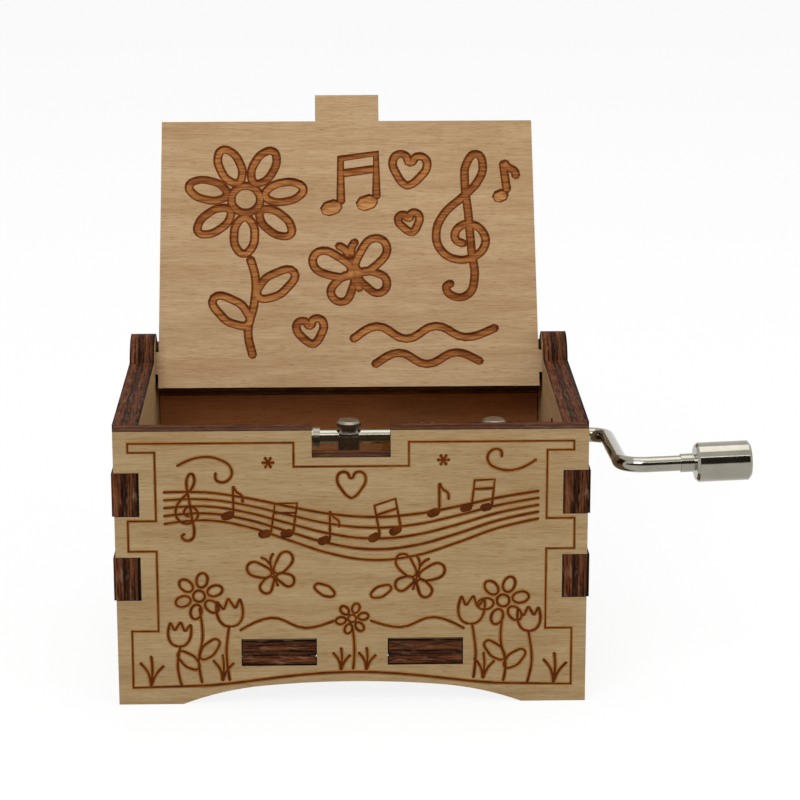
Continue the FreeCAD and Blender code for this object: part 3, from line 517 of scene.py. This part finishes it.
# Centre lines of each motif's strokes, in millimetres at its natural size.
MOTIFS = {
    "clef": [
        (
            "open",
            [
                (0.3, -1.0), (-1.0, -0.3), (-0.8, 1.1), (0.6, 1.7), (2.1, 0.8), (2.4, -0.9),
                (1.1, -2.4), (-0.8, -2.8), (-2.6, -1.8), (-3.3, 0.3), (-2.5, 2.8), (-0.5, 5.0),
                (1.2, 7.1), (1.7, 9.2), (0.9, 10.6), (-0.2, 9.3), (-0.3, 7.0), (0.3, 3.0),
                (0.9, -1.6), (1.4, -5.2), (0.8, -7.0), (-0.8, -7.4), (-1.8, -6.3), (-1.0, -5.5),
            ],
        )
    ],
    "beamed_notes": [
        ("head", [(-1.8, -0.6), (1.3, 0.5)]),
        ("head", [(3.6, 0.2), (6.7, 1.3)]),
        ("bent", [(1.2, 0.4), (1.2, 8.0), (6.6, 8.8), (6.6, 1.2)]),
        ("bent", [(1.2, 5.5), (6.6, 6.3)]),
    ],
    "note": [
        ("head", [(-1.8, -0.6), (1.3, 0.5)]),
        ("open", [(1.2, 0.4), (1.2, 7.6)]),
        ("open", [(1.2, 7.6), (2.0, 6.1), (3.3, 5.0), (3.5, 3.2)]),
    ],
    "heart": [
        (
            "closed",
            [
                (0, 1.5), (1.0, 2.8), (2.5, 2.7), (3.1, 1.2), (2.2, -0.9), (0.25, -2.9),
                (-0.25, -2.9), (-2.2, -0.9), (-3.1, 1.2), (-2.5, 2.7), (-1.0, 2.8),
            ],
        )
    ],
    "daisy": daisy_strokes(7, 1.9, 7.7, 1.35),
    "small_daisy": daisy_strokes(6, 1.3, 5.4, 1.2),
    "tulip": both_sides(
        [
            ("open", [(0, -2.1), (1.3, -1.6), (2.2, 0.3), (2.0, 2.8)]),
            ("open", [(2.0, 2.8), (1.0, 1.1)]),
            ("open", [(1.0, 1.1), (0, 3.1)]),
        ]
    ),
    "leaf": [
        ("closed", [(0, 0), (1.3, 1.6), (1.4, 3.6), (0, 6.0), (-1.4, 3.6), (-1.3, 1.6)]),
    ],
    "butterfly": both_sides(
        [
            ("closed", [(0.5, 0.2), (1.6, 2.8), (4.0, 4.2), (5.2, 2.7), (3.6, 0.6)]),
            ("closed", [(0.5, -0.4), (2.9, -0.8), (3.9, -2.3), (2.6, -3.7), (1.0, -2.3)]),
            ("open", [(0, 2.4), (0.5, 3.7), (1.5, 4.7)]),
        ]
    )
    + [("open", [(0, -2.9), (0, 2.4)])],
    "spark": [
        ("open", [(-1.5, 0), (1.5, 0)]),
        ("open", [(-0.75, -1.3), (0.75, 1.3)]),
        ("open", [(-0.75, 1.3), (0.75, -1.3)]),
    ],
    "curl": [
        (
            "open",
            [(0, 0), (3.2, 1.3), (6.4, 1.0), (8.2, -0.6), (7.6, -2.3), (6.0, -2.3), (5.8, -1.0)],
        )
    ],
    "grass": [
        ("open", [(0, 0), (-0.4, 2.4), (-1.8, 4.4)]),
        ("open", [(0, 0), (0.3, 3.2), (0.1, 5.6)]),
        ("open", [(0, 0), (0.9, 2.2), (2.3, 3.8)]),
    ],
}


def placed(motif, x, y, size, turn=0.0):
    """A motif's strokes, enlarged, turned by an angle in degrees and moved to x, y."""
    move = Matrix.Translation((x, y, 0)) @ Matrix.Rotation(math.radians(turn), 4, "Z")
    strokes = []
    for kind, points in MOTIFS[motif]:
        moved = [move @ Vector((px * size, py * size, 0)) for px, py in points]
        strokes.append((kind, [(point.x, point.y) for point in moved]))
    return strokes


def drawing(placements, lines):
    """All strokes of a drawing: its placed motifs and its own lines."""
    strokes = list(lines)
    for placement in placements:
        strokes += placed(*placement)
    return strokes


# Multiples of this share, less their whole parts, spread evenly between 0 and 1.
GOLDEN_STEP = 0.618
# A note's head is as thick as this much of the line's width and this much of its own length.
HEAD_OF_WIDTH, HEAD_OF_LENGTH = 2 / 3, 0.48
# A rounded end starts this share of the width before the tip, which is this share as thick.
END_INSET, END_THICKNESS = 0.35, 0.45


def stroke_line(kind, points, width, room, number):
    """A stroke's line, as each point's place and its thickness in widths. Each stroke starts at its
    own height within the room, and climbs by nearly as much again from start to end."""
    lift = room * ((number + 1) * GOLDEN_STEP % 1)
    slope = room / len(points)
    full = 1.0
    if kind == "head":
        full = HEAD_OF_WIDTH + HEAD_OF_LENGTH * math.dist(points[0], points[-1]) / width
    line = [
        (Vector((x, y, lift + slope * step)) * MM, full) for step, (x, y) in enumerate(points)
    ]
    if kind in ("closed", "framing"):
        return line
    start, end = line[0][0], line[-1][0]
    inset, narrow = END_INSET * full * width * MM, END_THICKNESS * full
    after_start = start + (line[1][0] - start).normalized() * inset
    before_end = end + (line[-2][0] - end).normalized() * inset
    return [(start, narrow), (after_start, full), *line[1:-1], (before_end, full), (end, narrow)]


def stroke_tubes(name, strokes, width, depth, place, spread):
    """A mesh of the strokes: flattened tubes, half of them above the drawn plane. Open, bent and
    head strokes have rounded ends, closed and framing ones have none; bent and framing ones have
    straight stretches, and a head is a note's short thick one. Spread is the share of the depth
    over which the strokes' heights are spread, so that nothing that crosses lies level."""
    data = bpy.data.curves.new(name, "CURVE")
    data.dimensions = "3D"
    data.resolution_u = 5
    data.bevel_depth = width / 2 * MM
    data.bevel_resolution = 1
    data.use_fill_caps = True
    for number, (kind, points) in enumerate(strokes):
        line = stroke_line(kind, points, width, spread * width / 2, number)
        handle = "VECTOR" if kind in ("bent", "framing") else "AUTO"
        spline = data.splines.new("BEZIER")
        spline.bezier_points.add(len(line) - 1)
        spline.use_cyclic_u = kind in ("closed", "framing")
        for point, (spot, radius) in zip(spline.bezier_points, line):
            point.co = spot
            point.radius = radius
            point.handle_left_type = handle
            point.handle_right_type = handle
    curve = link(bpy.data.objects.new(name, data))
    mesh = evaluated_mesh(curve)
    bpy.data.objects.remove(curve)
    bpy.data.curves.remove(data)
    mesh.transform(place @ Matrix.Diagonal((1, 1, 2 * depth / width, 1)))
    return link(bpy.data.objects.new(name, mesh))


# ---------------------------------------------------------------- finishes of the solids


def dress(node, material):
    """Gives a CAD node its one material."""
    materials = NODES[node].data.materials
    materials.clear()
    materials.append(material)


# The third tone, for the back's inner face, is painted shade: darker and redder, for the shade and
# warm bounced light inside the box.
PALE, OLIVE, HONEY_PAINTED_SHADE, LID_TONE = "#bf9f76", "#b0976e", "#c07c48", "#bea079"
WALL_Y = -FRONT_FACE_Y - HALF_PLY
SIDE_X = SIDE_FACE_X - HALF_PLY
FLOOR_Z = FLOOR_UNDERSIDE_Z + HALF_PLY
# The back's grain is shifted, so that it isn't the front's over again.
GRAIN_SHIFT = 3
# Each board's middle in millimetres, its turn, and the tones of its upper and lower face. The
# back's upper face looks into the box, and its tone is painted shade: darker and redder, for the
# shade and warm bounced light inside.
PANELS = {
    "front_panel": ((0, -WALL_Y, 0), (QUARTER, 0, 0), OLIVE, PALE),
    "back_panel": ((GRAIN_SHIFT, WALL_Y, 0), (QUARTER, 0, 0), HONEY_PAINTED_SHADE, OLIVE),
    "left_side_panel": ((-SIDE_X, 0, 0), (QUARTER, 0, QUARTER), PALE, OLIVE),
    "right_side_panel": ((SIDE_X, 0, 0), (QUARTER, 0, QUARTER), OLIVE, PALE),
    "bottom_panel": ((0, 0, FLOOR_Z), (0, 0, 0), PALE, OLIVE),
    "lid": (HINGE, (LID_TURN, 0, 0), LID_TONE, OLIVE),
}
for panel, (middle, turn, *tones) in PANELS.items():
    name = f"laser_cut_basswood_{panel}"
    dress(panel, laser_cut_basswood_ply(name, Vector(middle) * MM, turn, *tones))

# Bright nickel over steel wire: a clean mirror that is only slightly soft.
nickel = metal("bright_nickel_plate", "#8e8a7e", "#9c988c", 0.11, (3, 3, 3), 0.03)
# Turned steel with a grey plating, duller than the crank.
dark_steel = metal("grey_plated_turned_steel", "#6d685c", "#8b857b", 0.30, (0.6, 0.6, 0.08))
# Ground spring steel: straight grinding marks across the teeth.
comb_steel = metal("ground_spring_steel", "#82827e", "#9f9f9a", 0.28, (6, 0.12, 2))
# Machined steel of the worm and the arbor.
machined_steel = metal("machined_steel", "#7d7d7a", "#9c9c98", 0.25, (0.15, 2, 2))
# Turned brass tube and hobbed brass wheel.
brass = metal("turned_brass", "#b08b47", "#d3b06a", 0.27, (2, 0.14, 2))
# Die-cast zinc with a dull plating and a slightly pebbled skin.
casting = metal("plated_zinc_casting", "#777773", "#8e8e89", 0.42, (0.5, 0.5, 0.5), 0.3)
lead = metal("dull_lead", "#4c4e52", "#66686c", 0.6, (0.5, 0.5, 0.5), 0.3)
zinc_screw = metal("zinc_plated_screw", "#8f8c82", "#a8a59b", 0.25, (1, 1, 0.2))
black_plastic = moulded_plastic("black_moulded_abs", "#19191b", "#26262a")

FINISHES = {
    "movement_bed": casting,
    "left_shaft_post": dark_steel,
    "right_shaft_post": dark_steel,
    "left_post_cap": dark_steel,
    "right_post_cap": dark_steel,
    "crank_rod": nickel,
    "crank_knob": nickel,
    "knob_retaining_ring": dark_steel,
    "shaft_collar": dark_steel,
    "shaft_clips": dark_steel,
    "worm": machined_steel,
    "worm_wheel": brass,
    "cylinder_sleeve": brass,
    "cylinder_pins": machined_steel,
    "cylinder_front_plug": black_plastic,
    "cylinder_rear_plug": black_plastic,
    "cylinder_arbor": machined_steel,
    "comb": comb_steel,
    "comb_weights": lead,
    "comb_screws": zinc_screw,
    "mounting_screws": zinc_screw,
}
for node, finish in FINISHES.items():
    dress(node, finish)

# ---------------------------------------------------------------- engraved lid

LID_PLACE = Matrix.Translation(Vector(HINGE) * MM) @ Matrix.Rotation(LID_TURN, 4, "X")
# The groove's width and depth in millimetres, and the spread of its strokes.
LID_STROKE, LID_CUT, LID_SPREAD = 1.42, 0.32, 0.06
# Corners closer than the first distance are one in a solid's mesh, and an edge shorter than the
# second is none after a cut, in millimetres. A shell with fewer faces than this is a flake.
WELD_DISTANCE, LEAST_EDGE = 0.002, 0.0005
FLAKE_FACES = 40
LID_MOTIFS = [
    ("daisy", -15.4, 26.2, 1.15),
    ("leaf", -13.5, 10.5, 1.1, -54),
    ("leaf", -14.9, 6.2, 1.1, 52),
    ("beamed_notes", -2.2, 24.8, 1.0),
    ("heart", 9.4, 30.8, 0.85, -8),
    ("clef", 17.6, 19.8, 1.3, -4),
    ("note", 23.4, 26.6, 0.75, 6),
    ("butterfly", 1.0, 14.2, 1.1, 14),
    ("heart", -5.6, 4.8, 0.66, 10),
    ("heart", 9.4, 22.2, 0.52, 12),
]
LID_LINES = [
    ("open", [(-14.8, 17.0), (-13.9, 13.4), (-14.1, 9.2), (-15.0, 5.0), (-14.2, 0.6)]),
    ("open", [(0.2, 3.4), (4.2, 5.6), (8.6, 3.6), (13.0, 5.6), (17.4, 3.8), (22.4, 5.4)]),
    ("open", [(3.4, -0.6), (7.4, 1.4), (11.6, -0.4), (16.0, 1.4), (20.0, -0.2)]),
]


def welded_copy(node, name):
    """An object with a copy of a CAD node's mesh: doubles merged and flat faces made whole."""
    solid = bmesh.new()
    solid.from_mesh(node.data)
    bmesh.ops.remove_doubles(solid, verts=solid.verts, dist=WELD_DISTANCE * MM)
    bmesh.ops.dissolve_limit(
        solid, angle_limit=math.radians(1), verts=solid.verts, edges=solid.edges
    )
    mesh = bpy.data.meshes.new(name)
    solid.to_mesh(mesh)
    solid.free()
    for material in node.data.materials:
        mesh.materials.append(material)
    return link(bpy.data.objects.new(name, mesh))


def without_flakes(mesh):
    """Takes away the loose flakes that a cut leaves where two of the cutter's faces lay level."""
    solid = bmesh.new()
    solid.from_mesh(mesh)
    bmesh.ops.dissolve_degenerate(solid, dist=LEAST_EDGE * MM, edges=solid.edges)
    bmesh.ops.triangulate(solid, faces=solid.faces)
    waiting = set(solid.faces)
    flakes = []
    while waiting:
        shell = [waiting.pop()]
        for face in shell:
            for edge in face.edges:
                if len(edge.link_faces) != 2:
                    continue
                found = [other for other in edge.link_faces if other in waiting]
                waiting.difference_update(found)
                shell.extend(found)
        if len(shell) < FLAKE_FACES:
            flakes += shell
    bmesh.ops.delete(solid, geom=flakes, context="FACES")
    solid.to_mesh(mesh)
    solid.free()


def cut_away(piece, cutter, slot):
    """Cuts the cutter out of the piece; the cut's faces take the material in the given slot."""
    for material in piece.data.materials:
        cutter.data.materials.append(material)
    for face in cutter.data.polygons:
        face.material_index = slot
    cut = piece.modifiers.new("cut", "BOOLEAN")
    cut.operation = "DIFFERENCE"
    cut.solver = "EXACT"
    cut.use_self = True
    cut.object = cutter
    mesh = evaluated_mesh(piece)
    without_flakes(mesh)
    piece.modifiers.clear()
    piece.data = mesh
    bpy.data.objects.remove(cutter)


def engraved_lid():
    """The lid's plate with its drawing cut into the face that looks out when it stands open."""
    plate = welded_copy(NODES["lid"], "engraved_lid_plate")
    groove = engraved_wood(
        "laser_engraved_basswood",
        Vector(HINGE) * MM,
        (LID_TURN, 0, 0),
        LID_CUT,
        [(0.0, "#673206"), (0.72, "#7a3f0c"), (0.84, "#b27741"), (1.0, "#c48e56")],
    )
    plate.data.materials.append(groove)
    place = LID_PLACE @ Matrix.Translation((0, 0, HALF_PLY * MM))
    strokes = drawing(LID_MOTIFS, LID_LINES)
    cutter = stroke_tubes("lid_cutter", strokes, LID_STROKE, LID_CUT, place, LID_SPREAD)
    cut_away(plate, cutter, 1)
    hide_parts("lid")
    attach(plate, "lid")


engraved_lid()

# ---------------------------------------------------------------- screws

# Each screw's X, its Y and its slot's turn in degrees, and the height of the heads' faces.
COMB_SCREWS, COMB_SCREW_FACE = [(-14.0, 1.6, 20), (-14.0, 12.2, -38)], 23.9
BED_SCREWS, BED_SCREW_FACE = [(-16.9, -9.4, 12), (21.6, -10.0, 75), (21.4, 17.0, -30)], 4.3
SLOT_WIDTH, SLOT_LENGTH, SLOT_DEPTH = 0.6, 5.2, 0.6


def slotted_screws(node, heads, head_face):
    """The node's screws with a driver's slot across each head."""
    screws = welded_copy(NODES[node], f"slotted_{node}")
    size = Vector((SLOT_LENGTH, SLOT_WIDTH, 2 * SLOT_DEPTH)) * MM
    blades = bmesh.new()
    for x, y, turn in heads:
        place = Matrix.Translation(Vector((x, y, head_face)) * MM)
        place = place @ Matrix.Rotation(math.radians(turn), 4, "Z") @ Matrix.Diagonal((*size, 1))
        bmesh.ops.create_cube(blades, size=1.0, matrix=place)
    mesh = bpy.data.meshes.new("driver_blades")
    blades.to_mesh(mesh)
    blades.free()
    cut_away(screws, link(bpy.data.objects.new("driver_blades", mesh)), 0)
    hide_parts(node)
    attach(screws, "case")


slotted_screws("comb_screws", COMB_SCREWS, COMB_SCREW_FACE)
slotted_screws("mounting_screws", BED_SCREWS, BED_SCREW_FACE)

# ---------------------------------------------------------------- drawing on the front

# The frame line steps in around the lid's notch, the two pairs of finger slots and the foot's arch.
FRAME_RIGHT = [
    (7.75, 33.8), (7.75, 37.15), (30.0, 37.15), (30.0, 35.9), (26.4, 35.9), (26.4, 26.3),
    (30.2, 26.3), (30.2, 22.0), (26.4, 22.0), (26.4, 10.6), (30.0, 10.6), (30.0, 2.45),
    (19.5, 2.7),
]
FRONT_MOTIFS = [
    ("clef", -22.0, 27.4, 0.52),
    ("note", -16.6, 27.0, 0.55),
    ("beamed_notes", -11.6, 24.4, 0.55, -8),
    ("note", -3.6, 23.4, 0.55),
    ("beamed_notes", 3.2, 23.8, 0.55, 10),
    ("note", 11.2, 27.2, 0.55),
    ("beamed_notes", 15.6, 27.8, 0.5, -6),
    ("curl", -23.5, 34.0, 0.9),
    ("curl", 25.0, 34.6, -0.8, 6),
    ("spark", -11.2, 34.4, 0.6),
    ("spark", 12.4, 34.6, 0.6),
    ("heart", 0.0, 31.2, 0.62),
    ("butterfly", -10.6, 18.6, 0.62, 18),
    ("butterfly", 8.8, 18.0, 0.66, -16),
    ("small_daisy", -20.8, 15.6, 0.62, 8),
    ("tulip", -16.6, 12.8, 0.8, 6),
    ("tulip", -23.6, 9.8, 0.7, -6),
    ("leaf", -20.7, 6.6, 0.6, -42),
    ("leaf", -21.0, 5.2, 0.6, 50),
    ("small_daisy", 20.6, 14.6, 0.66),
    ("tulip", 16.2, 12.9, 0.8, -8),
    ("tulip", 24.2, 11.6, 0.7, 4),
    ("leaf", 20.8, 6.2, 0.6, 46),
    ("leaf", 20.9, 5.0, 0.6, -48),
    ("grass", -17.8, 3.3, 0.7),
    ("grass", 17.9, 3.3, 0.7),
    ("grass", 27.6, 2.6, 0.8),
    ("grass", -27.6, 2.6, 0.8),
    ("small_daisy", 0.0, 12.2, 0.42),
    ("leaf", -2.4, 15.6, 0.5, 62),
    ("leaf", 2.6, 15.4, 0.5, -64),
    ("grass", -1.6, 4.7, 0.6),
    ("grass", 1.9, 4.7, 0.6),
]
STEMS = [
    [(-20.8, 13.9), (-20.4, 10.0), (-21.0, 6.2), (-20.6, 3.0)],
    [(-16.8, 11.1), (-17.2, 7.4), (-16.8, 3.3)],
    [(-23.5, 8.3), (-23.9, 5.6), (-23.4, 2.7)],
    [(20.6, 12.8), (20.3, 9.0), (21.0, 5.4), (20.7, 2.9)],
    [(16.4, 11.2), (16.9, 7.0), (16.6, 3.4)],
    [(24.1, 10.1), (24.6, 6.0), (24.0, 2.7)],
    [(0.0, 11.2), (0.3, 8.0), (0.1, 4.8)],
    [(-15.4, 10.6), (-11.0, 12.4), (-6.4, 10.9), (-2.4, 11.9)],
    [(15.4, 10.6), (11.2, 12.3), (6.6, 10.9), (2.4, 11.9)],
]


ARCH_CROWN, ARCH_FULLNESS, ARCH_STEPS = 4.47, 1.3, 12
STAFF_HALF_SPAN, STAFF_STEPS = 25.4, 9
# The staff waves about its height, and its lines draw together and apart; each wave has its
# size, its length and the place along X that it starts from.
STAFF_HEIGHT, WAVE, WAVE_LENGTH, WAVE_START = 26.0, 2.4, 50, -9
STAFF_SPACING, FAN, FAN_LENGTH, FAN_START = 1.25, 0.28, 44, 4


def arch_line():
    """Points of the frame's lowest line, which follows the foot's arch from right to left."""
    half_span, end_height = FRAME_RIGHT[-1]
    points = []
    for step in range(1, ARCH_STEPS):
        x = half_span * (1 - 2 * step / ARCH_STEPS)
        rise = math.cos(math.pi / 2 * x / half_span) ** ARCH_FULLNESS
        points.append((x, end_height + (ARCH_CROWN - end_height) * rise))
    return points


def staff_line(number):
    """One of the five flowing lines of the music across the front, counted from the lowest."""
    points = []
    for step in range(STAFF_STEPS + 1):
        x = -STAFF_HALF_SPAN + 2 * STAFF_HALF_SPAN * step / STAFF_STEPS
        middle = STAFF_HEIGHT - WAVE * math.sin(math.radians(360 * (x - WAVE_START) / WAVE_LENGTH))
        fan = FAN * math.cos(math.radians(360 * (x - FAN_START) / FAN_LENGTH))
        points.append((x, middle + (number - 2) * (STAFF_SPACING + fan)))
    return ("open", points)


def front_strokes():
    """Every stroke of the front's drawing, in millimetres along X and Z."""
    left = [(-x, z) for x, z in reversed(FRAME_RIGHT)]
    frame_line = ("framing", FRAME_RIGHT + arch_line() + left)
    lines = [frame_line] + [staff_line(number) for number in range(5)]
    lines += [("open", stem) for stem in STEMS]
    return drawing(FRONT_MOTIFS, lines)


FRONT_PLACE = Matrix.Translation((0, FRONT_FACE_Y * MM, 0)) @ Matrix.Rotation(QUARTER, 4, "X")
FRONT_SPREAD = 0.3
# A broad pale scorch under a narrow dark line: width and rise in millimetres, and two tones.
for name, width, proud, low, high in (
    ("front_drawing_scorch", 0.62, 0.006, "#a36d36", "#ab7840"),
    ("front_drawing_line", 0.36, 0.014, "#4e2205", "#632f06"),
):
    strips = stroke_tubes(name, front_strokes(), width, proud, FRONT_PLACE, FRONT_SPREAD)
    strips.data.materials.append(scorched_line(f"{name}_on_basswood", low, high))
    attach(strips, "case")
